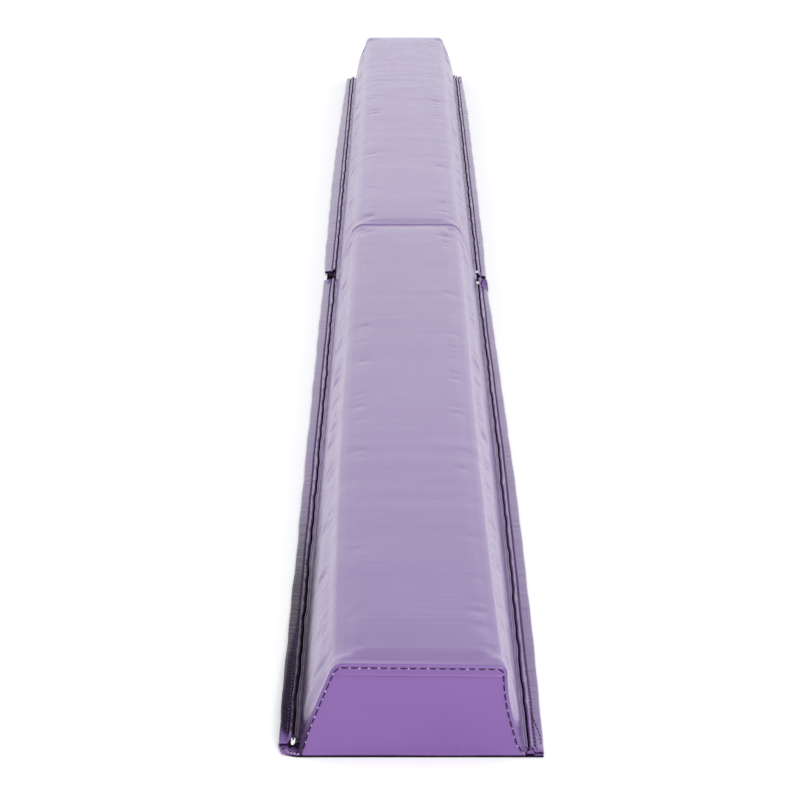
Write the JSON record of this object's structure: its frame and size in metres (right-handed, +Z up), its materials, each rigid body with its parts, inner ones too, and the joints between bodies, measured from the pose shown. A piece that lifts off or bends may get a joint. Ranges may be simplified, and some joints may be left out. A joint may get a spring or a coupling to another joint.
{
  "type": "folding floor balance beam",
  "caption": "Low padded floor balance beam that folds in half base to base, with a vinyl cover, concealed side zips and a non-slip base.",
  "frame": {"origin": "on the floor, under the middle of the fold between the two halves", "axes": "+Y along the beam towards the back half, +X to the right seen from the front end, +Z up"},
  "size_m": [0.16, 2.4384, 0.06],
  "materials": {
    "purple_vinyl": "gloss",
    "nonslip_base": "matte",
    "core_foam": "matte",
    "zip_tape": "matte",
    "zip_coil": "satin",
    "zip_metal": "polished",
    "seam_thread": "satin",
    "hinge_webbing": "matte"
  },
  "bodies": {
    "front_left_slider": {"front_left_zip_slider": "zip_metal"},
    "front_left_pull": {"front_left_zip_pull": "zip_metal"},
    "front_right_slider": {"front_right_zip_slider": "zip_metal"},
    "front_right_pull": {"front_right_zip_pull": "zip_metal"},
    "front_half": {"front_foam_core_lower": "core_foam", "front_foam_core_upper": "core_foam", "front_cover": "purple_vinyl", "front_outer_end_cap": "purple_vinyl", "front_inner_end_cap": "purple_vinyl", "front_base_panel": "nonslip_base", "front_end_cap_thread": "seam_thread", "front_flange_thread": "seam_thread", "front_left_flange": "purple_vinyl", "front_left_zip_inner_tape": "zip_tape", "front_left_zip_outer_tape": "zip_tape", "front_left_zip_inner_coil": "zip_coil", "front_left_zip_outer_coil": "zip_coil", "front_left_zip_top_stop": "zip_metal", "front_left_zip_bottom_stop": "zip_metal", "front_right_flange": "purple_vinyl", "front_right_zip_inner_tape": "zip_tape", "front_right_zip_outer_tape": "zip_tape", "front_right_zip_inner_coil": "zip_coil", "front_right_zip_outer_coil": "zip_coil", "front_right_zip_top_stop": "zip_metal", "front_right_zip_bottom_stop": "zip_metal", "fold_hinge_strip": "hinge_webbing", "fold_hinge_thread": "seam_thread"},
    "back_left_slider": {"back_left_zip_slider": "zip_metal"},
    "back_left_pull": {"back_left_zip_pull": "zip_metal"},
    "back_right_slider": {"back_right_zip_slider": "zip_metal"},
    "back_right_pull": {"back_right_zip_pull": "zip_metal"},
    "back_half": {"back_foam_core_lower": "core_foam", "back_foam_core_upper": "core_foam", "back_cover": "purple_vinyl", "back_outer_end_cap": "purple_vinyl", "back_inner_end_cap": "purple_vinyl", "back_base_panel": "nonslip_base", "back_end_cap_thread": "seam_thread", "back_flange_thread": "seam_thread", "back_left_flange": "purple_vinyl", "back_left_zip_inner_tape": "zip_tape", "back_left_zip_outer_tape": "zip_tape", "back_left_zip_inner_coil": "zip_coil", "back_left_zip_outer_coil": "zip_coil", "back_left_zip_top_stop": "zip_metal", "back_left_zip_bottom_stop": "zip_metal", "back_right_flange": "purple_vinyl", "back_right_zip_inner_tape": "zip_tape", "back_right_zip_outer_tape": "zip_tape", "back_right_zip_inner_coil": "zip_coil", "back_right_zip_outer_coil": "zip_coil", "back_right_zip_top_stop": "zip_metal", "back_right_zip_bottom_stop": "zip_metal"}
  },
  "joints": [
    {"name": "fold", "type": "hinge", "parent": "front_half", "child": "back_half", "pos_m": [0, 0, -0.0002], "axis": [-1, 0, 0], "range_deg": [0, 180], "deforming": ["fold_hinge_strip", "fold_hinge_thread"]},
    {"name": "front_left_zip_slide", "type": "slide", "parent": "front_half", "child": "front_left_slider", "axis": [0, 1, 0], "range_m": [0, 1.1755], "deforming": ["front_left_zip_inner_coil", "front_left_zip_outer_coil"]},
    {"name": "front_left_pull_turn", "type": "hinge", "parent": "front_left_slider", "child": "front_left_pull", "pos_m": [-0.071, -1.2037, 0.006], "axis": [-1, 0, 0], "range_deg": [0, 170]},
    {"name": "front_right_zip_slide", "type": "slide", "parent": "front_half", "child": "front_right_slider", "axis": [0, -1, 0], "range_m": [0, 1.1755], "deforming": ["front_right_zip_inner_coil", "front_right_zip_outer_coil"]},
    {"name": "front_right_pull_turn", "type": "hinge", "parent": "front_right_slider", "child": "front_right_pull", "pos_m": [0.071, -0.0285, 0.006], "axis": [1, 0, 0], "range_deg": [0, 170]},
    {"name": "back_left_zip_slide", "type": "slide", "parent": "back_half", "child": "back_left_slider", "axis": [0, -1, 0], "range_m": [0, 1.1755], "deforming": ["back_left_zip_inner_coil", "back_left_zip_outer_coil"]},
    {"name": "back_left_pull_turn", "type": "hinge", "parent": "back_left_slider", "child": "back_left_pull", "pos_m": [-0.071, 1.2037, 0.006], "axis": [1, 0, 0], "range_deg": [0, 170]},
    {"name": "back_right_zip_slide", "type": "slide", "parent": "back_half", "child": "back_right_slider", "axis": [0, 1, 0], "range_m": [0, 1.1755], "deforming": ["back_right_zip_inner_coil", "back_right_zip_outer_coil"]},
    {"name": "back_right_pull_turn", "type": "hinge", "parent": "back_right_slider", "child": "back_right_pull", "pos_m": [0.071, 0.0285, 0.006], "axis": [-1, 0, 0], "range_deg": [0, 170]}
  ]
}
